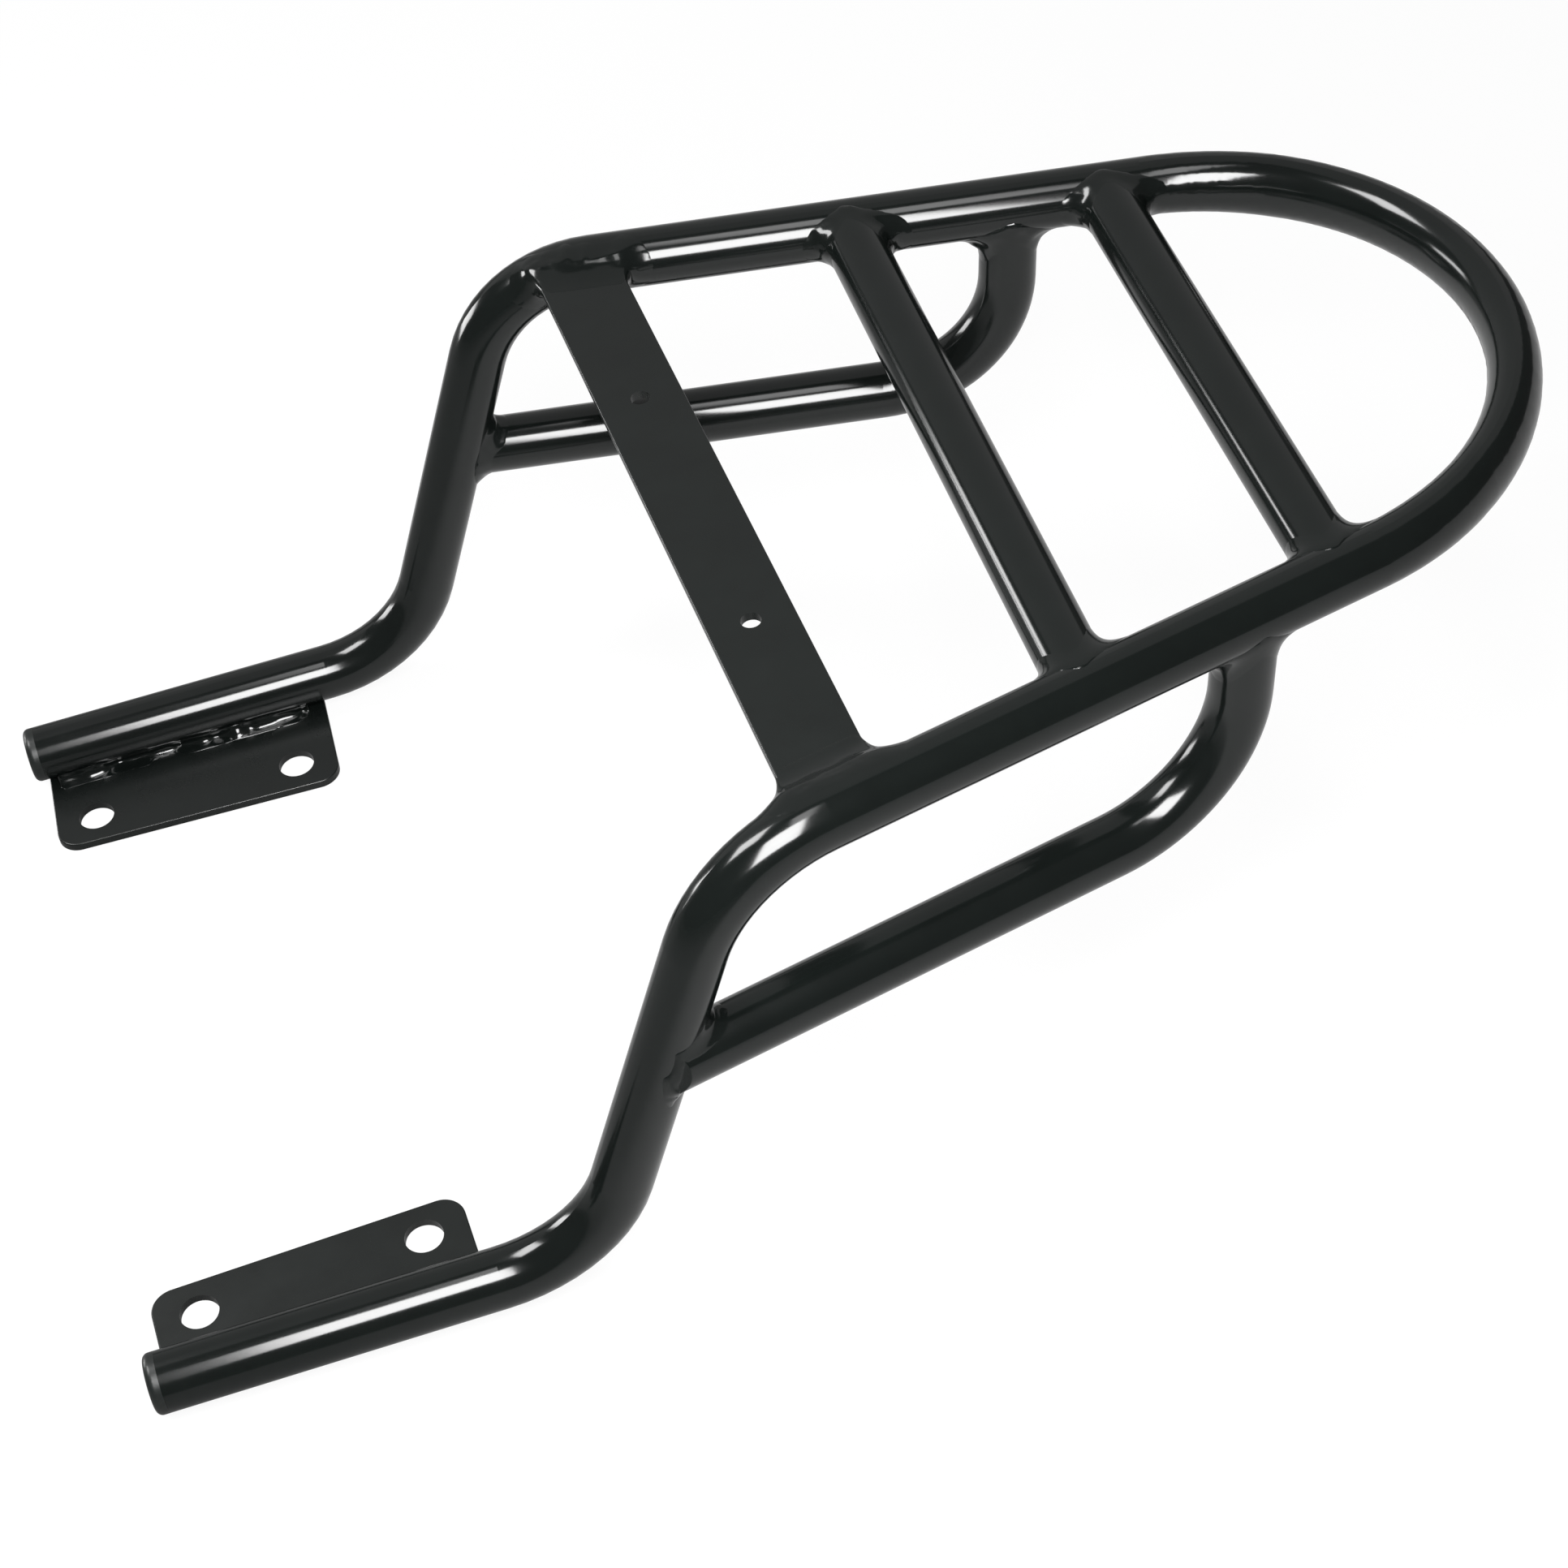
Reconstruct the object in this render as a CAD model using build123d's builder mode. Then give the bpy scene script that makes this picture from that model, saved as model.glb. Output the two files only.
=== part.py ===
from build123d import *
import os
from math import cos, radians, sin, sqrt, tan

# Motorcycle luggage rack: one bent tube forms the legs, the risers, the deck rails and the rear
# loop, and cross tubes, side rails, a drilled strip and two drilled tabs are welded to it.
# Millimetres. +X points to the rear of the motorcycle, +Y to its right and +Z up.
# The origin is under the middle of the rack, in the plane of the tabs' undersides.

# Tube stock, the same for every tube
tube_od = 20.0
tube_wall = 1.5
bend_radius = 48.0

# Hoop, measured along its centreline
leg_spacing = 292.0
leg_length = 142.0
riser_run = 61.0
riser_height = 155.0
rail_taper = 11.8
loop_setback = 197.0

# Bending the rear loop squashes its tube: narrower across the loop, taller upright
loop_tube_width = 17.2
loop_tube_height = 22.8
oval_angle = 25.0

# Cross tubes, measured back from the corners of the upper bends
mid_tube_setback = 119.0
rear_tube_setback = 205.0

# Side rails, one under each deck rail
side_rail_drop = 72.0
side_rail_inset = 1.5
side_rail_tube_gap = 31.0
side_rail_lean = 7.0
side_rail_trim_angle = 35.0
side_rail_trim_depth = 0.5

# Drilled strip across the front of the deck, welded a little out of square
plate_setback = 32.0
plate_width = 28.0
plate_thickness = 3.0
plate_rise = 5.0
plate_skew = 2.5
plate_end_inset = 8.0
plate_hole_diameter = 6.6
plate_hole_spacing = 115.0
plate_edge_radius = 0.6

# Drilled tabs under the legs, closing in a little towards the rear
tab_setback = 3.0
tab_length = 105.0
tab_width = 44.0
tab_thickness = 3.0
tab_toe = 2.1
tab_free_edge_y = 104.5
tab_corner_radius = 8.0
tab_hole_diameter = 13.0
tab_hole_end_margin = 15.0
tab_hole_edge_margin = 12.4
tab_edge_radius = 0.5

# Plugs in the open ends of the legs
plug_head = 4.0
plug_head_round = 2.2
plug_stem_length = 14.0
plug_stem_diameter = 14.5
plug_rib_count = 3
plug_rib_width = 1.6

# Welds
tube_weld_radius = 6.0
rail_upper_weld_leg = 6.0
rail_lower_weld_leg = 11.0
rail_weld_width = 13.0
weld_bite = 3.0
plate_weld_radius = 3.0
tab_weld_end_gap = 10.5
tab_weld_leg = 12.0
tab_weld_height = 6.0
tab_weld_crown = 0.8
tab_weld_root = 3.0
weld_relief = 0.1
cope_gap = 0.1
end_fill_depth = 2.5
seam_tolerance = 0.001

# Worked out from the sizes above
LEFT = -1
RIGHT = 1
side_names = {LEFT: "left", RIGHT: "right"}
tube_bore = tube_od - 2 * tube_wall
cope_diameter = tube_od + 2 * cope_gap
taper = radians(rail_taper)
skew = radians(plate_skew)
toe = radians(tab_toe)
half_spacing = leg_spacing / 2
leg_z = tab_thickness + tube_od / 2
deck_z = leg_z + riser_height
loop_radius = (half_spacing - tan(taper) * loop_setback) * cos(taper)
rack_length = plug_head + leg_length + riser_run + loop_setback + loop_radius + loop_tube_width / 2
front_x = -rack_length / 2
leg_front_x = front_x + plug_head
lower_corner_x = leg_front_x + leg_length
upper_corner_x = lower_corner_x + riser_run
loop_x = upper_corner_x + loop_setback
loop_start_angle = rail_taper - 90
side_rail_z = deck_z - side_rail_drop
side_rail_top_setback = rear_tube_setback - side_rail_tube_gap
side_rail_corner_setback = side_rail_top_setback - side_rail_lean
plate_x = upper_corner_x + plate_setback
plate_top_z = deck_z + plate_rise
tab_front_x = front_x + tab_setback
tab_hole_spacing = tab_length - 2 * tab_hole_end_margin
tab_weld_length = tab_length - 2 * tab_weld_end_gap
rail_direction = Vector(cos(taper), -sin(taper), 0)
riser_direction = Vector(riser_run, 0, riser_height).normalized()
joint_reach = 2 * tube_od
upright_reach = 1.25 * tube_od


def rail_y(x):
    """Distance of a deck rail's centreline from the rack's middle plane, at x along the rack."""
    return half_spacing - (x - upper_corner_x) * tan(taper)


def riser_x(z):
    """Place of a riser's centreline along the rack, at height z."""
    return upper_corner_x - (deck_z - z) * riser_run / riser_height


def straight_rod(start, end, diameter):
    """A solid round bar between two points."""
    axis = Vector(end) - Vector(start)
    with BuildPart() as rod:
        with BuildSketch(Plane(start, z_dir=axis)):
            Circle(diameter / 2)
        extrude(amount=axis.length)
    return rod.part


def bent_rod(corners, diameter):
    """A solid round bar through the corners, bent at the one radius that the bender has."""
    with BuildPart() as rod:
        with BuildLine() as centreline:
            FilletPolyline(corners, radius=[bend_radius] * (len(corners) - 2))
        with BuildSketch(Plane(centreline.line @ 0, z_dir=centreline.line % 0)):
            Circle(diameter / 2)
        sweep(path=centreline.line)
    return rod.part


def hoop_branch(side, diameter):
    """One leg, riser and deck rail as a solid bar, up to where the rear loop starts."""
    corners = [
        (leg_front_x, side * half_spacing, leg_z),
        (lower_corner_x, side * half_spacing, leg_z),
        (upper_corner_x, side * half_spacing, deck_z),
        (loop_x + loop_radius * sin(taper), side * loop_radius * cos(taper), deck_z),
    ]
    return bent_rod(corners, diameter)


def oval_transition(side, diameter, oval_width, oval_height):
    """The stretch of the loop in which the round bar turns oval."""
    with BuildPart() as stretch:
        with BuildLine(Plane((loop_x, 0, deck_z))) as bend:
            CenterArc((0, 0), loop_radius, -side * loop_start_angle, -side * oval_angle)
        round_plane = Plane(bend.line @ 0, x_dir=(0, 0, 1), z_dir=bend.line % 0)
        oval_plane = Plane(bend.line @ 1, x_dir=(0, 0, 1), z_dir=bend.line % 1)
        with BuildSketch(round_plane) as round_end:
            Circle(diameter / 2)
        with BuildSketch(oval_plane) as oval_end:
            Ellipse(oval_height / 2, oval_width / 2)
        sweep(sections=[round_end.sketch, oval_end.sketch], path=bend.line, multisection=True)
    return stretch.part


def oval_loop(oval_width, oval_height):
    """The oval bar round the rear of the loop."""
    start_angle = loop_start_angle + oval_angle
    outward = Vector(1, 0, 0).rotate(Axis.Z, start_angle)
    section_plane = Plane((loop_x, 0, deck_z), x_dir=outward, z_dir=outward.cross(Vector(0, 0, 1)))
    with BuildPart() as loop:
        with BuildSketch(section_plane):
            with Locations((loop_radius, 0)):
                Ellipse(oval_width / 2, oval_height / 2)
        revolve(axis=Axis((loop_x, 0, deck_z), (0, 0, 1)), revolution_arc=-2 * start_angle)
    return loop.part


def hoop_solid(diameter, oval_width, oval_height):
    """The hoop's whole run as one solid bar."""
    hoop = oval_loop(oval_width, oval_height)
    for side in (LEFT, RIGHT):
        stretch = oval_transition(side, diameter, oval_width, oval_height)
        hoop = hoop.fuse(stretch, hoop_branch(side, diameter), tol=seam_tolerance)
    return hoop


def rail_bar(side, x, diameter):
    """The straight stretch of a deck rail around x, as a solid bar."""
    middle = Vector(x, side * rail_y(x), deck_z)
    along = Vector(rail_direction.X, side * rail_direction.Y, 0) * joint_reach
    return straight_rod(middle - along, middle + along, diameter)


def seam_weld(carrier, branch, radius, *trims):
    """Weld metal in the corner all round a bar that meets another one."""
    with BuildPart() as bead:
        add(carrier)
        add(branch)
        fillet(new_edges(carrier, branch, combined=bead.part), radius)
        for trim in trims:
            add(trim, mode=Mode.SUBTRACT)
    return bead


def strip_end(across, side):
    """Place of the strip's end along its length, at a distance across it from its centreline."""
    rail_gap = rail_y(plate_x + across * cos(skew)) - plate_end_inset - side * across * sin(skew)
    return rail_gap / (side * cos(skew) - sin(skew) * tan(taper))


def keep_part(builder, name):
    """Label a finished piece and write it."""
    builder.part.label = name
    export_step(builder.part, f"parts/{name}.step")


def keep_pair(builder, name):
    """Write a piece of the left side, and its mirror image on the right."""
    keep_part(builder, f"left_{name}")
    with BuildPart() as twin:
        mirror(builder.part, about=Plane.XZ)
    keep_part(twin, f"right_{name}")


os.makedirs("parts", exist_ok=True)

# Hoop
with BuildPart() as main_hoop:
    add(hoop_solid(tube_od, loop_tube_width, loop_tube_height))
    add(
        hoop_solid(tube_bore, loop_tube_width - 2 * tube_wall, loop_tube_height - 2 * tube_wall),
        mode=Mode.SUBTRACT,
    )
keep_part(main_hoop, "main_hoop")

# Cross tubes, coped to the deck rails, with a weld at each end
cross_tubes = {
    "mid": upper_corner_x + mid_tube_setback,
    "rear": upper_corner_x + rear_tube_setback,
}
for tube_name, tube_x in cross_tubes.items():
    left_end = Vector(tube_x, -rail_y(tube_x), deck_z)
    right_end = Vector(tube_x, rail_y(tube_x), deck_z)
    rail_stub = rail_bar(LEFT, tube_x, tube_od)
    cross_bar = straight_rod(left_end, right_end, tube_od)
    with BuildPart() as cross_tube:
        add(cross_bar)
        add(straight_rod(left_end, right_end, tube_bore), mode=Mode.SUBTRACT)
        for side in (LEFT, RIGHT):
            add(rail_bar(side, tube_x, cope_diameter), mode=Mode.SUBTRACT)
    keep_part(cross_tube, f"{tube_name}_cross_tube")
    stub_end = left_end + Vector(0, joint_reach, 0)
    tube_stub = straight_rod(left_end, stub_end, tube_od - 2 * weld_relief)
    tube_weld = seam_weld(rail_stub, tube_stub, tube_weld_radius, rail_stub, cross_bar)
    keep_pair(tube_weld, f"{tube_name}_tube_weld")

# Side rails, coped to the risers in front and to the undersides of the deck rails behind
meet_x = riser_x(side_rail_z)
corner_x = upper_corner_x + side_rail_corner_setback
top_x = upper_corner_x + side_rail_top_setback
front_end = Vector(meet_x, side_rail_inset - rail_y(meet_x), side_rail_z)
corner = Vector(corner_x, side_rail_inset - rail_y(corner_x), side_rail_z)
top_end = Vector(top_x, -rail_y(top_x), deck_z)
riser_middle = Vector(meet_x, -half_spacing, side_rail_z)
riser_foot = riser_middle - riser_direction * joint_reach
riser_head = riser_middle + riser_direction * joint_reach
riser_bar = straight_rod(riser_foot, riser_head, tube_od)
side_bar = bent_rod([front_end, corner, top_end], tube_od)
top_bar = rail_bar(LEFT, top_x, tube_od)

# The front end overhangs the outer side of the riser, so it is cut off there on a slant
slant = Vector(1, 0, 0).rotate(Axis.Z, -side_rail_trim_angle)
outer_side = riser_middle - Vector(0, tube_od / 2 - side_rail_trim_depth, 0)
trim_plane = Plane(outer_side, z_dir=riser_direction.cross(slant))
with BuildPart() as side_rail:
    add(side_bar)
    add(bent_rod([front_end, corner, top_end], tube_bore), mode=Mode.SUBTRACT)
    add(straight_rod(riser_foot, riser_head, cope_diameter), mode=Mode.SUBTRACT)
    add(rail_bar(LEFT, top_x, cope_diameter), mode=Mode.SUBTRACT)
    split(bisect_by=trim_plane, keep=Keep.TOP)
keep_pair(side_rail, "side_rail")

# Weld round the top of each side rail
upright_end = top_end + (corner - top_end).normalized() * upright_reach
upright_stub = straight_rod(top_end, upright_end, tube_od - 2 * weld_relief)
top_weld = seam_weld(top_bar, upright_stub, tube_weld_radius, top_bar, side_bar)
keep_pair(top_weld, "side_rail_top_weld")

# Welds over and under the front of each side rail
stub_end = front_end + (corner - front_end).normalized() * joint_reach
front_bar = straight_rod(front_end, stub_end, tube_od)
riser_normal = Vector(riser_direction.Z, 0, -riser_direction.X)
with BuildPart() as front_weld:
    for way, leg in ((1, rail_upper_weld_leg), (-1, rail_lower_weld_leg)):
        rise = (way * tube_od / 2 - riser_normal.Z * tube_od / 2) / riser_direction.Z
        crotch = riser_middle + riser_normal * tube_od / 2 + riser_direction * rise
        on_riser = riser_direction * way * leg - riser_normal * weld_bite
        on_rail = Vector(leg, 0, -way * weld_bite)
        root = (on_riser + on_rail) * -0.5
        with BuildSketch(Plane(crotch, x_dir=(1, 0, 0), z_dir=(0, -1, 0))):
            Polygon([(point.X, point.Z) for point in (on_riser, on_rail, root)], align=None)
        extrude(amount=rail_weld_width / 2, both=True)
    add(riser_bar, mode=Mode.SUBTRACT)
    add(front_bar, mode=Mode.SUBTRACT)
keep_pair(front_weld, "side_rail_front_weld")

# Weld metal that closes the slanted mouth of each side rail
with BuildPart() as mouth_fill:
    add(straight_rod(front_end, stub_end, tube_bore))
    split(bisect_by=trim_plane, keep=Keep.TOP)
    split(bisect_by=trim_plane.offset(end_fill_depth), keep=Keep.BOTTOM)
    add(riser_bar, mode=Mode.SUBTRACT)
keep_pair(mouth_fill, "side_rail_mouth_weld")

# Drilled strip, its ends cut to the deck rails
plate_plane = Plane((plate_x, 0, plate_top_z - plate_thickness), x_dir=(cos(skew), sin(skew), 0))
half_width = plate_width / 2
plate_corners = [
    (-half_width, strip_end(-half_width, LEFT)),
    (half_width, strip_end(half_width, LEFT)),
    (half_width, strip_end(half_width, RIGHT)),
    (-half_width, strip_end(-half_width, RIGHT)),
]
with BuildPart() as strip_blank:
    with BuildSketch(plate_plane):
        Polygon(plate_corners, align=None)
    extrude(amount=plate_thickness)
with BuildPart() as cross_plate:
    add(strip_blank.part)
    long_edges = cross_plate.edges().filter_by(Axis((0, 0, 0), (-sin(skew), cos(skew), 0)))
    fillet(long_edges, plate_edge_radius)
    with BuildSketch(plate_plane):
        with GridLocations(plate_width, plate_hole_spacing, 1, 2):
            Circle(plate_hole_diameter / 2)
    extrude(amount=plate_thickness, mode=Mode.SUBTRACT)
    for side in (LEFT, RIGHT):
        add(hoop_branch(side, tube_od), mode=Mode.SUBTRACT)
keep_part(cross_plate, "cross_plate")

# Welds along the strip's ends, above and below
for side in (LEFT, RIGHT):
    branch_bar = hoop_branch(side, tube_od)
    with BuildPart() as plate_weld:
        add(branch_bar)
        add(strip_blank.part)
        seam = new_edges(branch_bar, strip_blank.part, combined=plate_weld.part)
        flat_seam = [edge for edge in seam if edge.bounding_box().size.Z < weld_relief]
        fillet(flat_seam, plate_weld_radius)
        add(branch_bar, mode=Mode.SUBTRACT)
        add(strip_blank.part, mode=Mode.SUBTRACT)
    keep_part(plate_weld, f"{side_names[side]}_plate_weld")

# Tabs under the legs
tab_plane = Plane((tab_front_x, -tab_free_edge_y, 0), x_dir=(cos(toe), sin(toe), 0))
front_hole = (tab_hole_end_margin, -tab_hole_edge_margin)
rear_hole = (tab_hole_end_margin + tab_hole_spacing, -tab_hole_edge_margin)
with BuildPart() as mount_tab:
    with BuildSketch(tab_plane) as tab_outline:
        with Locations((tab_length / 2, -tab_width / 2)):
            Rectangle(tab_length, tab_width)
        fillet(tab_outline.vertices().group_by(Axis.Y)[-1], tab_corner_radius)
    extrude(amount=tab_thickness)
    fillet(mount_tab.faces().sort_by(Axis.Z)[-1].edges(), tab_edge_radius)
    with BuildSketch(tab_plane):
        with Locations(front_hole, rear_hole):
            Circle(tab_hole_diameter / 2)
    extrude(amount=tab_thickness, mode=Mode.SUBTRACT)
keep_pair(mount_tab, "mount_tab")

# A long weld holds each tab, in the corner on the inner side of its leg
leg_mouth = (leg_front_x, -half_spacing, leg_z)
leg_corner = (lower_corner_x, -half_spacing, leg_z)
weld_middle = (tab_front_x + tab_length / 2, -half_spacing, tab_thickness)
tube_reach = sqrt((tube_od / 2) ** 2 - (tube_od / 2 - tab_weld_height) ** 2)
crown_point = ((tab_weld_leg + tube_reach) / 2 + tab_weld_crown, tab_weld_height / 2)
with BuildPart() as tab_weld:
    with BuildSketch(Plane(weld_middle, x_dir=(0, 1, 0), z_dir=(1, 0, 0))):
        with BuildLine():
            Line((tab_weld_root, 0), (tab_weld_leg, 0))
            ThreePointArc((tab_weld_leg, 0), crown_point, (tube_reach, tab_weld_height))
            Line((tube_reach, tab_weld_height), (tab_weld_root, tab_weld_height))
            Line((tab_weld_root, tab_weld_height), (tab_weld_root, 0))
        make_face()
    extrude(amount=tab_weld_length / 2, both=True)
    add(straight_rod(leg_mouth, leg_corner, tube_od), mode=Mode.SUBTRACT)
keep_pair(tab_weld, "tab_weld")

# Plugs that close the legs, ribbed to grip the bore
rib_pitch = plug_stem_length / (plug_rib_count + 0.5)
with BuildPart() as end_plug:
    with BuildSketch(Plane(leg_mouth, x_dir=(1, 0, 0), z_dir=(0, -1, 0))) as plug_outline:
        with Locations((-plug_head / 2, tube_od / 4)):
            Rectangle(plug_head, tube_od / 2)
        rim = plug_outline.vertices().group_by(Axis.X)[0].sort_by(Axis.Y)[-1]
        fillet(rim, plug_head_round)
        with Locations((plug_stem_length / 2, plug_stem_diameter / 4)):
            Rectangle(plug_stem_length, plug_stem_diameter / 2)
        for rib in range(plug_rib_count):
            with Locations(((rib + 1) * rib_pitch, tube_bore / 4)):
                Rectangle(plug_rib_width, tube_bore / 2)
    revolve(axis=Axis(leg_mouth, (1, 0, 0)))
keep_pair(end_plug, "end_plug")
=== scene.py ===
import math

import bmesh
import bpy
from mathutils import Matrix, Vector
from mathutils.bvhtree import BVHTree


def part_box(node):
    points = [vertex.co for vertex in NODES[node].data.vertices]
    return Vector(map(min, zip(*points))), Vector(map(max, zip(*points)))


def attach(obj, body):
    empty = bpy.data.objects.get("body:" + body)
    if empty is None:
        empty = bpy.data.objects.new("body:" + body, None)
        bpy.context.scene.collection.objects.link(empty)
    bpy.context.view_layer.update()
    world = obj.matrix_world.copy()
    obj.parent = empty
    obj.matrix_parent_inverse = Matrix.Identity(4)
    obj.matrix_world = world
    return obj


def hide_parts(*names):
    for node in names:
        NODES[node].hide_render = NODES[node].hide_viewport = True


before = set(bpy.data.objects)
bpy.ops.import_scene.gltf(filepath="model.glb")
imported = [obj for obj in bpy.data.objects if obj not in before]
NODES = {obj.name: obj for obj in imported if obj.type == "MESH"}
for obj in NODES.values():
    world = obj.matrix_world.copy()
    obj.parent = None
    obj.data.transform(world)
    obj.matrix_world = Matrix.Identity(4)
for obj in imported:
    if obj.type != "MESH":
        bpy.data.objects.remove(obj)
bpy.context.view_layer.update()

bl_info = {
    "name": "Motorcycle luggage rack",
    "version": (1, 0, 0),
    "blender": (4, 5, 0),
    "location": "View3D > Sidebar > Rack",
    "description": "Finishes a welded tubular luggage rack and lights it",
    "category": "Object",
}

MM = 0.001
SIDES = ("left", "right")

# Reading the steel's outside from the CAD meshes
TUBE_BORE = 21.0 * MM
COPE_SEAT = 0.3 * MM
RAY_START = 0.01 * MM
SAME_POINT = 0.002 * MM
SHARP_EDGE = math.radians(35.0)

# Shaping the weld metal
INSIDE_LOOK = -0.7
SKIN_DEPTH = 0.06 * MM
TOE_FILL = 0.03 * MM
TOE_SLOPE = 10.0
LUMP_LEVEL = 0.4
SMOOTHING = 8
PAD_SHARE = 0.75

# The enamel's faint dust: its grain, how much paler it is and how much it changes the gloss
DUST_GRAIN = 14.0 * MM
DUST_PALER = 1.5
DUST_GLOSS = 0.06

# The studio
FLOOR_REACH = 40.0
FLOOR_GAP = 0.5 * MM
FLOOR_GLOW = 0.9
POOL_FRONT, POOL_FULL = -0.24, -0.06
POOL_DARK = 0.15


def hex_linear(code):
    """An sRGB hex colour as linear red, green, blue and alpha."""
    channels = [int(code[i:i + 2], 16) / 255 for i in (1, 3, 5)]
    linear = [c / 12.92 if c <= 0.04045 else ((c + 0.055) / 1.055) ** 2.4 for c in channels]
    return (*linear, 1.0)


def add_node(tree, kind, settings=None, inputs=None):
    """Add a node to a tree, with its settings and with its inputs set or linked."""
    node = tree.nodes.new(kind)
    for name, value in (settings or {}).items():
        setattr(node, name, value)
    for key, value in (inputs or {}).items():
        if isinstance(value, bpy.types.NodeSocket):
            tree.links.new(value, node.inputs[key])
        else:
            node.inputs[key].default_value = value
    return node


class RackWelds(bpy.types.PropertyGroup):
    """Sizes of the weld metal."""

    tube_reach: bpy.props.FloatProperty(
        name="Tube welds", description="How far a weld spreads from the corner between two tubes",
        default=15.0 * MM, unit="LENGTH")
    front_reach: bpy.props.FloatProperty(
        name="Riser welds", description="How far a weld spreads where a side rail meets its riser",
        default=11.0 * MM, unit="LENGTH")
    strip_reach: bpy.props.FloatProperty(
        name="Strip welds", description="How far a weld spreads at the ends of the strip",
        default=17.0 * MM, unit="LENGTH")
    tab_reach: bpy.props.FloatProperty(
        name="Tab welds", description="How far a weld spreads along the tabs",
        default=8.0 * MM, unit="LENGTH")
    tube_cap: bpy.props.FloatProperty(
        name="Tube cap", description="Share of the spread that stays where the tubes lie side by side",
        default=0.22, subtype="FACTOR")
    strip_cap: bpy.props.FloatProperty(
        name="Strip cap", description="Share of the spread that stays over the top of the deck rail",
        default=0.8, subtype="FACTOR")
    sink: bpy.props.FloatProperty(
        name="Sink", description="How deep the weld metal goes into the steel",
        default=1.2 * MM, unit="LENGTH")
    lump_length: bpy.props.FloatProperty(
        name="Lump length", description="Distance between the lumps in a weld",
        default=5.0 * MM, unit="LENGTH")
    tab_lump_length: bpy.props.FloatProperty(
        name="Tab lump length", description="Distance between the lumps in the tabs' long welds",
        default=10.0 * MM, unit="LENGTH")
    near_lump: bpy.props.FloatProperty(
        name="Left lumps", description="Height of the lumps in the welds of the left side",
        default=0.1 * MM, unit="LENGTH")
    far_lump: bpy.props.FloatProperty(
        name="Right lumps", description="Height of the lumps in the welds of the right side",
        default=1.2 * MM, unit="LENGTH")
    strip_lump: bpy.props.FloatProperty(
        name="Strip lumps", description="Height of the lumps in the welds of the strip",
        default=0.35 * MM, unit="LENGTH")
    tab_lump: bpy.props.FloatProperty(
        name="Tab lumps", description="Height of the lumps in the tabs' long welds",
        default=2.4 * MM, unit="LENGTH")
    cell: bpy.props.FloatProperty(
        name="Cell", description="Size of the cells that the weld metal is shaped from",
        default=0.65 * MM, unit="LENGTH")
    seed: bpy.props.IntProperty(
        name="Seed", description="Changes where the lumps are", default=7)


class RackFinish(bpy.types.PropertyGroup):
    """Colours of the finishes, as sRGB hex values."""

    coat_colour: bpy.props.StringProperty(
        name="Coat", description="Black of the stoved enamel", default="#0a0d0c")
    plug_colour: bpy.props.StringProperty(
        name="Plug", description="Black of the moulded plugs", default="#131615")
    floor_colour: bpy.props.StringProperty(
        name="Floor", description="White of the studio floor", default="#f4f4f4")


class RackStage(bpy.types.PropertyGroup):
    """Camera and lights."""

    lens: bpy.props.FloatProperty(
        name="Lens", description="Focal length on a 36 mm sensor", default=78.19)
    key_power: bpy.props.FloatProperty(
        name="Key lamp", description="Power of the tall soft lamp over the camera",
        default=9.5, unit="POWER")
    front_power: bpy.props.FloatProperty(
        name="Front lamp", description="Power of the high lamp over the front right",
        default=13.0, unit="POWER")
    ceiling_power: bpy.props.FloatProperty(
        name="Ceiling lamp", description="Power of the lamp straight above the deck",
        default=4.6, unit="POWER")
    wall_power: bpy.props.FloatProperty(
        name="Wall lamp", description="Power of the soft lamp behind the rack",
        default=9.5, unit="POWER")
    side_power: bpy.props.FloatProperty(
        name="Side lamp", description="Power of the low lamp to the front of the rack",
        default=6.5, unit="POWER")
    floor_gloss: bpy.props.FloatProperty(
        name="Floor in the gloss", description="How bright the floor is in reflections, against white",
        default=0.62, subtype="FACTOR")
    air: bpy.props.FloatProperty(
        name="Air", description="Brightness of the room around the lamps", default=0.08)


SKINS = {}


def node_faces(name):
    """Corners, faces, face normals and a search tree of a CAD node."""
    if name not in SKINS:
        mesh = NODES[name].data
        points = [vertex.co.copy() for vertex in mesh.vertices]
        faces = [tuple(face.vertices) for face in mesh.polygons]
        normals = [face.normal.copy() for face in mesh.polygons]
        SKINS[name] = (points, faces, normals, BVHTree.FromPolygons(points, faces))
    return SKINS[name]


def outer_skin(names, low, high, rest=""):
    """The outside of CAD nodes within a box, as one object. Faces that look across a bore are left
    out, and so are the coped faces that sit against the tube they rest on."""
    seats = node_faces(rest)[3] if rest else None
    corners, kept = [], []
    for name in names:
        points, faces, normals, search = node_faces(name)
        for face, normal in zip(faces, normals):
            trio = [points[i] for i in face]
            if any(max(p[k] for p in trio) < low[k] or min(p[k] for p in trio) > high[k]
                   for k in range(3)):
                continue
            middle = sum(trio, Vector()) / len(trio)
            if search.ray_cast(middle + normal * RAY_START, normal, TUBE_BORE)[0] is not None:
                continue
            if seats and seats.find_nearest(middle, COPE_SEAT)[0] is not None:
                continue
            kept.append(tuple(range(len(corners), len(corners) + len(trio))))
            corners.extend(trio)
    mesh = bpy.data.meshes.new(names[0] + "_skin")
    mesh.from_pydata(corners, [], kept)
    joined = bmesh.new()
    joined.from_mesh(mesh)
    bmesh.ops.remove_doubles(joined, verts=joined.verts, dist=SAME_POINT)
    joined.to_mesh(mesh)
    joined.free()
    mesh.shade_smooth()
    mesh.set_sharp_from_angle(angle=SHARP_EDGE)
    skin = bpy.data.objects.new(names[0] + "_skin", mesh)
    bpy.context.collection.objects.link(skin)
    return skin


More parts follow.
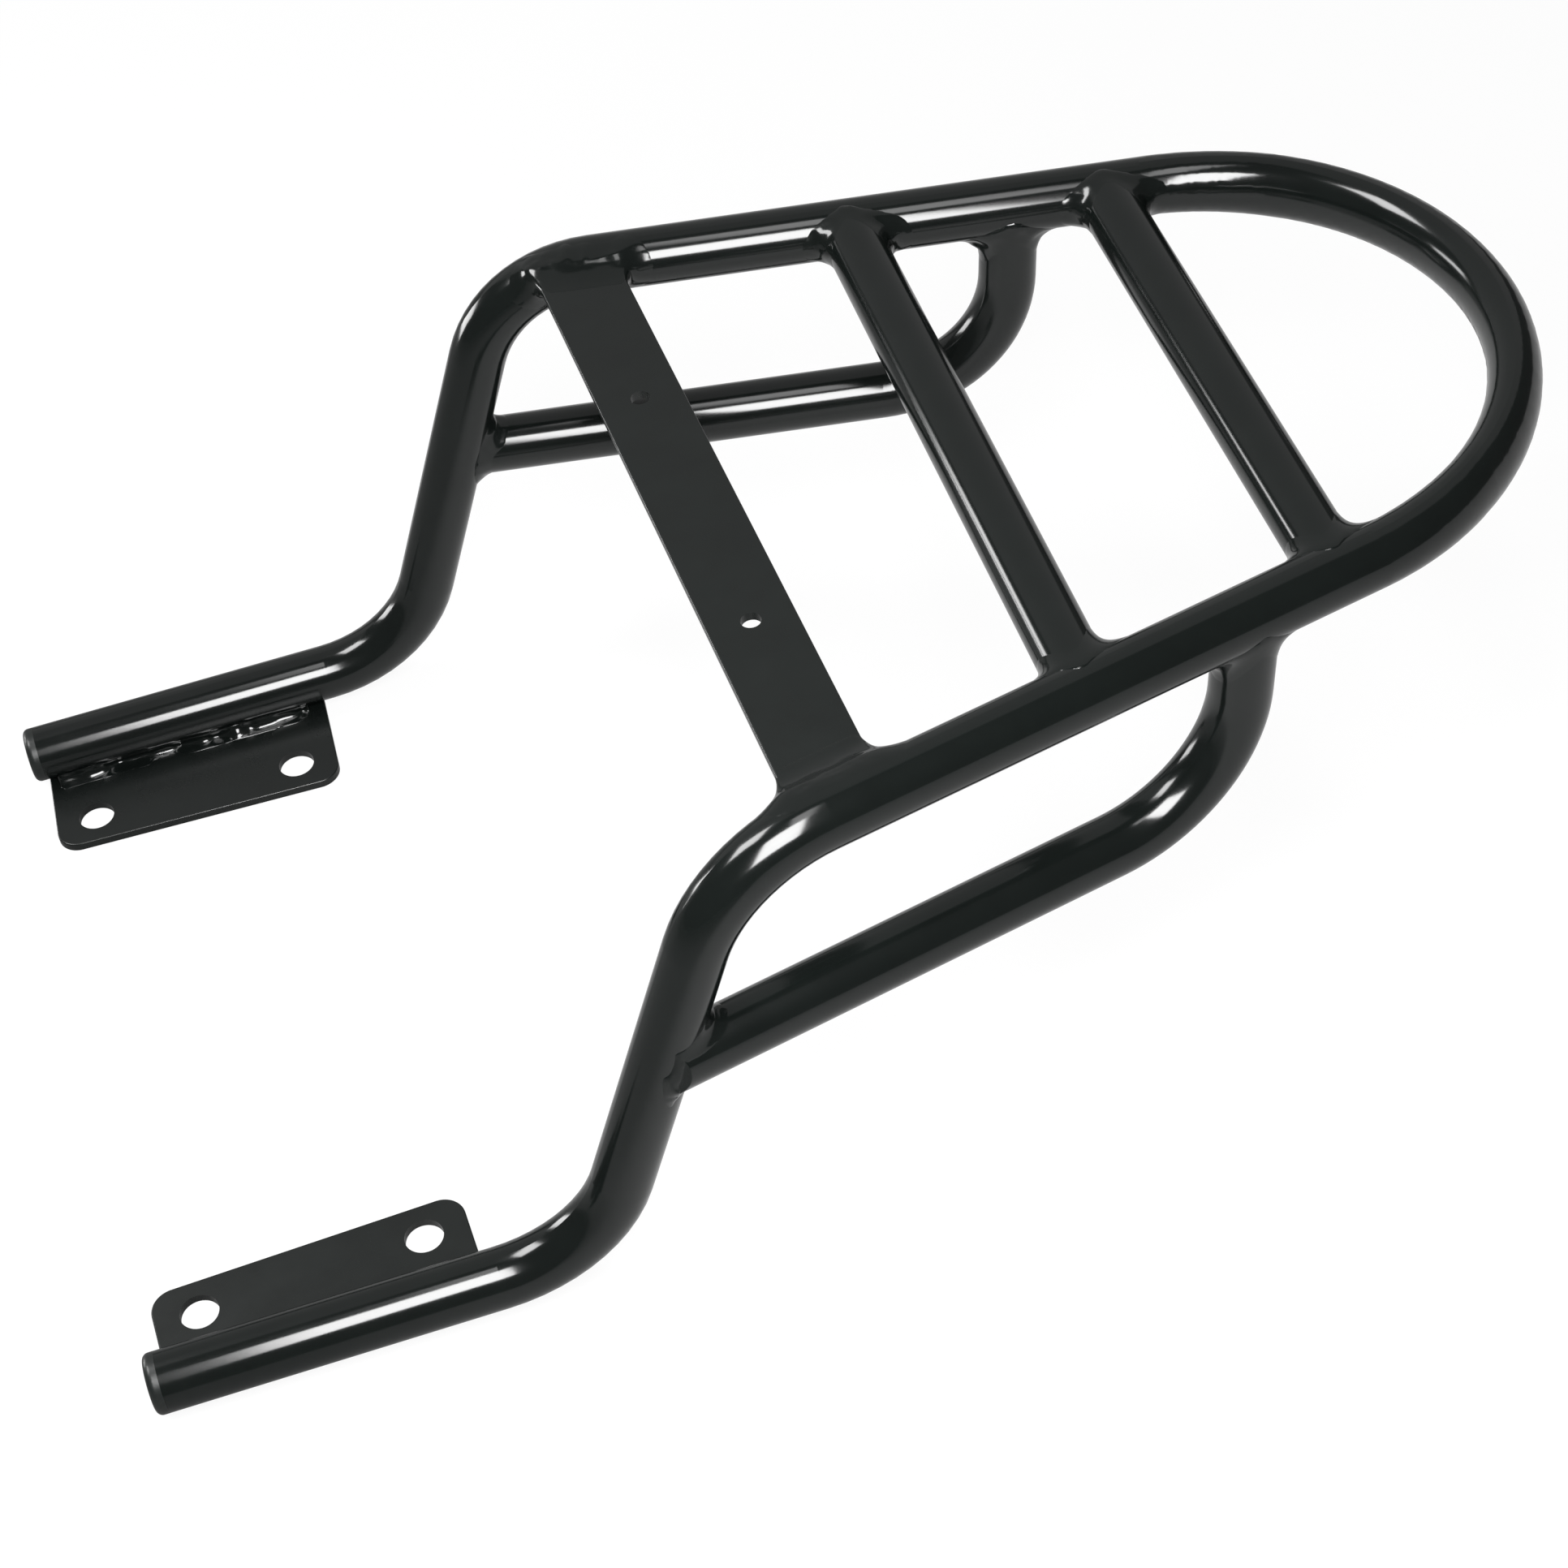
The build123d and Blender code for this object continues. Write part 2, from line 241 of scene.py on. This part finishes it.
def weld_tree():
    """Node tree that fills the corner between two pieces with weld metal. It reads how far each
    place is from both pieces, rounds the corner between them, and lets lumps grow in the fill.
    The fill thins out under the steel's own surface, so its toe is a clean line."""
    tree = bpy.data.node_groups.get("weld_fill")
    if tree:
        return tree
    tree = bpy.data.node_groups.new("weld_fill", "GeometryNodeTree")
    sockets = (
        ("Carrier", "NodeSocketObject"), ("Branch", "NodeSocketObject"),
        ("Low", "NodeSocketVector"), ("High", "NodeSocketVector"),
        ("Cells X", "NodeSocketInt"), ("Cells Y", "NodeSocketInt"), ("Cells Z", "NodeSocketInt"),
        ("Reach", "NodeSocketFloat"), ("Cap", "NodeSocketFloat"), ("Sink", "NodeSocketFloat"),
        ("Lump length", "NodeSocketFloat"), ("Lump height", "NodeSocketFloat"),
        ("Seed", "NodeSocketFloat"), ("Coat", "NodeSocketMaterial"))
    for name, kind in sockets:
        tree.interface.new_socket(name, in_out="INPUT", socket_type=kind)
    tree.interface.new_socket("Weld", in_out="OUTPUT", socket_type="NodeSocketGeometry")
    given = add_node(tree, "NodeGroupInput").outputs
    place = add_node(tree, "GeometryNodeInputPosition").outputs[0]
    facing = add_node(tree, "GeometryNodeInputNormal").outputs[0]

    def sums(operation, *values):
        node = add_node(tree, "ShaderNodeMath", {"operation": operation}, dict(enumerate(values)))
        return node.outputs[0]

    depths, normals = [], []
    for piece in ("Carrier", "Branch"):
        skin = add_node(tree, "GeometryNodeObjectInfo", inputs={
            "Object": given[piece]}).outputs["Geometry"]
        near = add_node(tree, "GeometryNodeProximity", {"target_element": "FACES"}, {
            0: skin, "Sample Position": place}).outputs
        normal = add_node(tree, "GeometryNodeSampleNearestSurface", {"data_type": "FLOAT_VECTOR"}, {
            0: skin, 1: facing, "Sample Position": place}).outputs[0]
        # Inside is only where the nearest face looks straight away, so a tube's open end is outside
        off = add_node(tree, "ShaderNodeVectorMath", {"operation": "SUBTRACT"}, {
            0: place, 1: near["Position"]})
        way = add_node(tree, "ShaderNodeVectorMath", {"operation": "NORMALIZE"}, {
            0: off.outputs[0]})
        out = add_node(tree, "ShaderNodeVectorMath", {"operation": "DOT_PRODUCT"}, {
            0: way.outputs[0], 1: normal}).outputs["Value"]
        side = sums("SUBTRACT", 1.0, sums("MULTIPLY", sums("LESS_THAN", out, INSIDE_LOOK), 2.0))
        depths.append(sums("MULTIPLY", side, near["Distance"]))
        normals.append(normal)

    # Where both surfaces face the same way there is no corner to fill, so the reach shrinks there
    alike = add_node(tree, "ShaderNodeVectorMath", {"operation": "DOT_PRODUCT"}, {
        0: normals[0], 1: normals[1]}).outputs["Value"]
    spread = add_node(tree, "ShaderNodeMapRange", inputs={
        "Value": alike, "From Min": 0.0, "From Max": 1.0,
        "To Min": 1.0, "To Max": given["Cap"]}).outputs[0]
    reach = sums("MULTIPLY", given["Reach"], spread)
    apart = sums("ABSOLUTE", sums("SUBTRACT", *depths))
    share = sums("DIVIDE", sums("MAXIMUM", sums("SUBTRACT", reach, apart), 0.0), reach)
    fill = sums("MULTIPLY", sums("POWER", share, 3.0), sums("DIVIDE", reach, 6.0))
    grain = add_node(tree, "ShaderNodeTexNoise", {"noise_dimensions": "4D"}, {
        "Vector": place, "W": given["Seed"], "Scale": sums("DIVIDE", 1.0, given["Lump length"]),
        "Detail": 1.0}).outputs["Fac"]
    height = sums("MULTIPLY", given["Lump height"], 2.0)
    lumps = sums("MULTIPLY", sums("SUBTRACT", grain, LUMP_LEVEL), height)
    lumps = sums("MULTIPLY", lumps, sums("POWER", share, 2.0))
    skin = sums("SUBTRACT", sums("SUBTRACT", sums("MINIMUM", *depths), fill), lumps)
    skin = sums("ADD", skin, SKIN_DEPTH)
    toe = sums("MULTIPLY", sums("SUBTRACT", TOE_FILL, fill), TOE_SLOPE)
    solid = sums("MAXIMUM", skin, toe)
    for depth in depths:
        root = sums("SUBTRACT", sums("MULTIPLY", depth, -1.0), given["Sink"])
        solid = sums("MAXIMUM", solid, root)
    density = sums("MULTIPLY", solid, -1.0 / MM)

    cloud = add_node(tree, "GeometryNodeVolumeCube", inputs={
        "Density": density, "Background": -10.0, "Min": given["Low"], "Max": given["High"],
        "Resolution X": given["Cells X"], "Resolution Y": given["Cells Y"],
        "Resolution Z": given["Cells Z"]})
    metal = add_node(tree, "GeometryNodeVolumeToMesh", {"resolution_mode": "GRID"}, {
        "Volume": cloud.outputs[0], "Threshold": 0.0})
    even = add_node(tree, "GeometryNodeBlurAttribute", {"data_type": "FLOAT_VECTOR"}, {
        0: place, "Iterations": SMOOTHING, "Weight": 1.0})
    even = add_node(tree, "GeometryNodeSetPosition", inputs={
        "Geometry": metal.outputs[0], "Position": even.outputs[0]})
    real = add_node(tree, "GeometryNodeRealizeInstances", inputs={"Geometry": even.outputs[0]})
    coat = add_node(tree, "GeometryNodeSetMaterial", inputs={
        "Geometry": real.outputs[0], "Material": given["Coat"]})
    add_node(tree, "NodeGroupOutput", inputs={"Weld": coat.outputs[0]})
    return tree


def lay_weld(weld, carrier, branches, reach, cap, lump_length, lump, seed):
    """Put shaped weld metal in the place of a CAD weld, between its carrier and what it joins on."""
    welds = bpy.context.scene.rack_welds
    pad = Vector((PAD_SHARE, PAD_SHARE, PAD_SHARE)) * reach
    low, high = (Vector(corner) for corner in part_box(weld))
    low, high = low - pad, high + pad
    cells = [math.ceil((high[k] - low[k]) / welds.cell) for k in range(3)]
    coped = carrier if branches[0].endswith(("tube", "rail")) else ""
    skins = [outer_skin((carrier,), low - pad, high + pad),
             outer_skin(branches, low - pad, high + pad, coped)]
    inputs = {
        "Carrier": skins[0], "Branch": skins[1], "Low": low, "High": high,
        "Cells X": cells[0], "Cells Y": cells[1], "Cells Z": cells[2], "Reach": reach,
        "Cap": cap, "Sink": welds.sink, "Lump length": lump_length, "Lump height": lump,
        "Seed": float(seed), "Coat": weld_enamel(bpy.context.scene.rack_finish)}
    tree = weld_tree()
    holder = bpy.data.objects.new(weld + "_fill", bpy.data.meshes.new(weld + "_fill"))
    bpy.context.collection.objects.link(holder)
    modifier = holder.modifiers.new("weld_fill", "NODES")
    modifier.node_group = tree
    for item in tree.interface.items_tree:
        if item.in_out == "INPUT":
            modifier[item.identifier] = inputs[item.name]
    evaluated = holder.evaluated_get(bpy.context.evaluated_depsgraph_get())
    mesh = bpy.data.meshes.new_from_object(evaluated)
    if not mesh.polygons:
        raise RuntimeError(f"{weld} came out empty")
    mesh.name = weld + "_metal"
    mesh.shade_smooth()
    piece = bpy.data.objects.new(weld + "_metal", mesh)
    bpy.context.collection.objects.link(piece)
    holder.modifiers.remove(modifier)
    for spent in (holder, *skins):
        bpy.data.objects.remove(spent)
    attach(piece, "root")
    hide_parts(weld)
    return piece


def enamel(name, colour, roughness, peel_mm, peel_height_mm, lump_mm=0.0, lump_height_mm=0.0):
    """Stoved gloss enamel on steel: a deep black with a clear skin whose slight orange peel
    wobbles the edges of the highlights, and with faint dust in it."""
    found = bpy.data.materials.get(name)
    if found:
        return found
    material = bpy.data.materials.new(name)
    material.use_nodes = True
    tree = material.node_tree
    tree.nodes.clear()
    place = add_node(tree, "ShaderNodeTexCoord").outputs["Object"]
    dust = add_node(tree, "ShaderNodeTexNoise", inputs={
        "Vector": place, "Scale": 1.0 / DUST_GRAIN, "Detail": 4.0})
    shade = add_node(tree, "ShaderNodeMix", {"data_type": "RGBA"}, {
        0: dust.outputs["Fac"], 6: colour, 7: tuple(DUST_PALER * c for c in colour[:3]) + (1.0,)})
    gloss = add_node(tree, "ShaderNodeMapRange", inputs={
        "Value": dust.outputs["Fac"], "From Min": 0.3, "From Max": 0.7,
        "To Min": (1 - DUST_GLOSS) * roughness, "To Max": (1 + DUST_GLOSS) * roughness})
    peel = add_node(tree, "ShaderNodeTexNoise", inputs={
        "Vector": place, "Scale": 1.0 / (peel_mm * MM), "Detail": 1.0})
    skin = add_node(tree, "ShaderNodeBump", inputs={
        "Strength": 1.0, "Distance": peel_height_mm * MM, "Height": peel.outputs["Fac"]})
    if lump_mm:
        lumps = add_node(tree, "ShaderNodeTexNoise", inputs={
            "Vector": place, "Scale": 1.0 / (lump_mm * MM), "Detail": 2.0})
        skin = add_node(tree, "ShaderNodeBump", inputs={
            "Strength": 1.0, "Distance": lump_height_mm * MM, "Height": lumps.outputs["Fac"],
            "Normal": skin.outputs["Normal"]})
    surface = add_node(tree, "ShaderNodeBsdfPrincipled", inputs={
        "Base Color": shade.outputs[2], "Roughness": gloss.outputs["Result"], "IOR": 1.5,
        "Normal": skin.outputs["Normal"]})
    add_node(tree, "ShaderNodeOutputMaterial", inputs={"Surface": surface.outputs["BSDF"]})
    return material


def tube_enamel(finish):
    """The coat on drawn tube, smooth and glossy."""
    return enamel("gloss_black_enamel_on_tube", hex_linear(finish.coat_colour),
                  roughness=0.14, peel_mm=6.0, peel_height_mm=0.004)


def strip_enamel(finish):
    """The coat on hot-rolled flat steel, whose skin leaves the gloss a little broken."""
    return enamel("gloss_black_enamel_on_flat_steel", hex_linear(finish.coat_colour),
                  roughness=0.28, peel_mm=3.0, peel_height_mm=0.01)


def weld_enamel(finish):
    """The coat over weld metal, thick and glossy on rippled metal."""
    return enamel("gloss_black_enamel_on_weld", hex_linear(finish.coat_colour),
                  roughness=0.14, peel_mm=4.0, peel_height_mm=0.006, lump_mm=3.0, lump_height_mm=0.03)


def plug_polythene(finish):
    """Moulded polythene: a soft black sheen with a fine spark-eroded grain."""
    return enamel("moulded_black_polythene", hex_linear(finish.plug_colour),
                  roughness=0.36, peel_mm=0.8, peel_height_mm=0.012)


def dress(names, material):
    """Give CAD nodes a finished material."""
    for name in names:
        mesh = NODES[name].data
        mesh.materials.clear()
        mesh.materials.append(material)


class RACK_OT_tubes(bpy.types.Operator):
    """Coat the hoop, the cross tubes and the side rails."""

    bl_idname = "rack.tubes"
    bl_label = "Tubes"

    def execute(self, context):
        coat = tube_enamel(context.scene.rack_finish)
        dress(("main_hoop", "mid_cross_tube", "rear_cross_tube"), coat)
        dress(("left_side_rail", "right_side_rail"), coat)
        return {"FINISHED"}


class RACK_OT_flats(bpy.types.Operator):
    """Coat the drilled strip and the tabs."""

    bl_idname = "rack.flats"
    bl_label = "Strip and tabs"

    def execute(self, context):
        coat = strip_enamel(context.scene.rack_finish)
        dress(("cross_plate", "left_mount_tab", "right_mount_tab"), coat)
        return {"FINISHED"}


class RACK_OT_plugs(bpy.types.Operator):
    """Finish the plugs in the legs."""

    bl_idname = "rack.plugs"
    bl_label = "End plugs"

    def execute(self, context):
        dress(("left_end_plug", "right_end_plug"), plug_polythene(context.scene.rack_finish))
        return {"FINISHED"}


class RACK_OT_tube_welds(bpy.types.Operator):
    """Weld the cross tubes to the deck rails."""

    bl_idname = "rack.tube_welds"
    bl_label = "Cross tube welds"

    def execute(self, context):
        welds = context.scene.rack_welds
        for tube in ("mid", "rear"):
            for side, lump in zip(SIDES, (welds.near_lump, welds.far_lump)):
                lay_weld(f"{side}_{tube}_tube_weld", "main_hoop", (f"{tube}_cross_tube",),
                         welds.tube_reach, welds.tube_cap, welds.lump_length, lump,
                         welds.seed + len(tube) + len(side))
        return {"FINISHED"}


class RACK_OT_rail_welds(bpy.types.Operator):
    """Weld the side rails to the risers and under the deck rails."""

    bl_idname = "rack.rail_welds"
    bl_label = "Side rail welds"

    def execute(self, context):
        welds = context.scene.rack_welds
        coat = weld_enamel(context.scene.rack_finish)
        for side, lump in zip(SIDES, (welds.near_lump, welds.far_lump)):
            rail, mouth = f"{side}_side_rail", f"{side}_side_rail_mouth_weld"
            dress((mouth,), coat)
            lay_weld(rail + "_top_weld", "main_hoop", (rail,), welds.tube_reach, welds.tube_cap,
                     welds.lump_length, lump, welds.seed + 20 + len(side))
            lay_weld(rail + "_front_weld", "main_hoop", (rail, mouth), welds.front_reach,
                     welds.tube_cap, welds.lump_length, lump, welds.seed + 30 + len(side))
        return {"FINISHED"}


class RACK_OT_flat_welds(bpy.types.Operator):
    """Weld the strip across the deck rails and the tabs along the legs."""

    bl_idname = "rack.flat_welds"
    bl_label = "Strip and tab welds"

    def execute(self, context):
        welds = context.scene.rack_welds
        for side in SIDES:
            lay_weld(f"{side}_plate_weld", "main_hoop", ("cross_plate",),
                     welds.strip_reach, welds.strip_cap, welds.lump_length, welds.strip_lump,
                     welds.seed + 40 + len(side))
            lay_weld(f"{side}_tab_weld", "main_hoop", (f"{side}_mount_tab",),
                     welds.tab_reach, welds.tube_cap, welds.tab_lump_length, welds.tab_lump,
                     welds.seed + 60 + len(side))
        return {"FINISHED"}


class RACK_OT_stage(bpy.types.Operator):
    """Lay the floor, hang the lamps and set the camera."""

    bl_idname = "rack.stage"
    bl_label = "Stage"

    def execute(self, context):
        stage = context.scene.rack_stage
        scene = context.scene
        scene.view_settings.view_transform = "Standard"

        mesh = bpy.data.meshes.new("studio_floor")
        far = FLOOR_REACH
        corners = [(-far, -far, 0), (far, -far, 0), (far, far, 0), (-far, far, 0)]
        mesh.from_pydata(corners, [], [(0, 1, 2, 3)])
        floor = bpy.data.objects.new("studio_floor", mesh)
        floor.location.z = -FLOOR_GAP
        context.collection.objects.link(floor)
        white = bpy.data.materials.new("studio_floor_white")
        white.use_nodes = True
        tree = white.node_tree
        tree.nodes.clear()
        ray = add_node(tree, "ShaderNodeLightPath").outputs
        seen = add_node(tree, "ShaderNodeMath", {"operation": "MAXIMUM"}, {
            0: ray["Is Camera Ray"], 1: ray["Is Glossy Ray"]})
        seen = add_node(tree, "ShaderNodeMath", {"operation": "MAXIMUM"}, {
            0: seen.outputs[0], 1: ray["Is Transmission Ray"]})
        share = add_node(tree, "ShaderNodeMath", {"operation": "MULTIPLY"}, {
            0: seen.outputs[0], 1: FLOOR_GLOW})
        # In the gloss the floor darkens towards the front, past the end of its pool of light
        place = add_node(tree, "ShaderNodeTexCoord").outputs["Object"]
        along = add_node(tree, "ShaderNodeSeparateXYZ", inputs={0: place}).outputs["X"]
        pool = add_node(tree, "ShaderNodeMapRange", {"interpolation_type": "SMOOTHSTEP"}, {
            "Value": along, "From Min": POOL_FRONT, "From Max": POOL_FULL,
            "To Min": POOL_DARK, "To Max": stage.floor_gloss})
        dim = add_node(tree, "ShaderNodeMapRange", inputs={
            "Value": ray["Is Glossy Ray"], "To Min": 1.0, "To Max": pool.outputs[0]})
        paint = add_node(tree, "ShaderNodeBsdfDiffuse", inputs={
            "Color": hex_linear(scene.rack_finish.floor_colour)})
        glow = add_node(tree, "ShaderNodeEmission", inputs={
            "Color": (1, 1, 1, 1), "Strength": dim.outputs[0]})
        mixed = add_node(tree, "ShaderNodeMixShader", inputs={
            0: share.outputs[0], 1: paint.outputs[0], 2: glow.outputs[0]})
        add_node(tree, "ShaderNodeOutputMaterial", inputs={"Surface": mixed.outputs[0]})
        mesh.materials.append(white)

        world = bpy.data.worlds.new("studio_air")
        scene.world = world
        world.use_nodes = True
        air = world.node_tree.nodes["Background"]
        air.inputs["Color"].default_value = (1, 1, 1, 1)
        air.inputs["Strength"].default_value = stage.air

        # Each lamp: name, place, what it aims at, size across and up, power
        middle = (0.0, 0.0, 0.12)
        lamps = (
            ("key_lamp", (-0.12, -0.46, 0.64), (-0.14, 0.0, 0.12), (0.31, 0.4), stage.key_power),
            ("front_lamp", (-0.84, 0.39, 1.3), middle, (0.45, 0.6), stage.front_power),
            ("ceiling_lamp", (0.02, -0.33, 2.1), middle, (0.46, 0.7), stage.ceiling_power),
            ("wall_lamp", (0.1, 1.5, 1.35), middle, (3.6, 2.9), stage.wall_power),
            ("side_lamp", (-1.27, 1.06, 0.22), middle, (0.5, 0.4), stage.side_power),
        )
        for name, place, aim, size, power in lamps:
            lamp = bpy.data.lights.new(name, "AREA")
            lamp.shape = "RECTANGLE"
            lamp.size, lamp.size_y = size
            lamp.energy = power
            holder = bpy.data.objects.new(name, lamp)
            holder.location = place
            way = Vector(aim) - Vector(place)
            holder.rotation_euler = way.to_track_quat("-Z", "Y").to_euler()
            holder.visible_camera = False
            context.collection.objects.link(holder)

        eye = bpy.data.cameras.new("photo_camera")
        eye.sensor_fit = "HORIZONTAL"
        eye.sensor_width = 36.0
        eye.lens = stage.lens
        eye.clip_start = 0.01
        eye.clip_end = 100.0
        camera = bpy.data.objects.new("photo_camera", eye)
        right = Vector((0.95345, -0.27885, -0.1148))
        up = Vector((0.27966, 0.67521, 0.68255))
        back = Vector((-0.11281, -0.68288, 0.72176))
        turn = Matrix((right, up, back)).transposed()
        camera.matrix_world = Matrix.Translation((-0.13667, -0.79754, 0.88193)) @ turn.to_4x4()
        context.collection.objects.link(camera)
        scene.camera = camera
        return {"FINISHED"}


class RACK_PT_panel(bpy.types.Panel):
    """The rack's steps, in order."""

    bl_idname = "RACK_PT_panel"
    bl_label = "Luggage rack"
    bl_space_type = "VIEW_3D"
    bl_region_type = "UI"
    bl_category = "Rack"

    def draw(self, context):
        for step in STEPS:
            self.layout.operator(step.bl_idname)


STEPS = (
    RACK_OT_tubes, RACK_OT_flats, RACK_OT_plugs, RACK_OT_tube_welds, RACK_OT_rail_welds,
    RACK_OT_flat_welds, RACK_OT_stage)
GROUPS = {"rack_welds": RackWelds, "rack_finish": RackFinish, "rack_stage": RackStage}


def register():
    for kind in (*GROUPS.values(), *STEPS, RACK_PT_panel):
        bpy.utils.register_class(kind)
    for name, group in GROUPS.items():
        setattr(bpy.types.Scene, name, bpy.props.PointerProperty(type=group))


def unregister():
    for name in GROUPS:
        delattr(bpy.types.Scene, name)
    for kind in (RACK_PT_panel, *reversed(STEPS), *reversed(tuple(GROUPS.values()))):
        bpy.utils.unregister_class(kind)


def main():
    register()
    bpy.ops.rack.tubes()
    bpy.ops.rack.flats()
    bpy.ops.rack.plugs()
    bpy.ops.rack.tube_welds()
    bpy.ops.rack.rail_welds()
    bpy.ops.rack.flat_welds()
    bpy.ops.rack.stage()


if __name__ == "__main__":
    main()
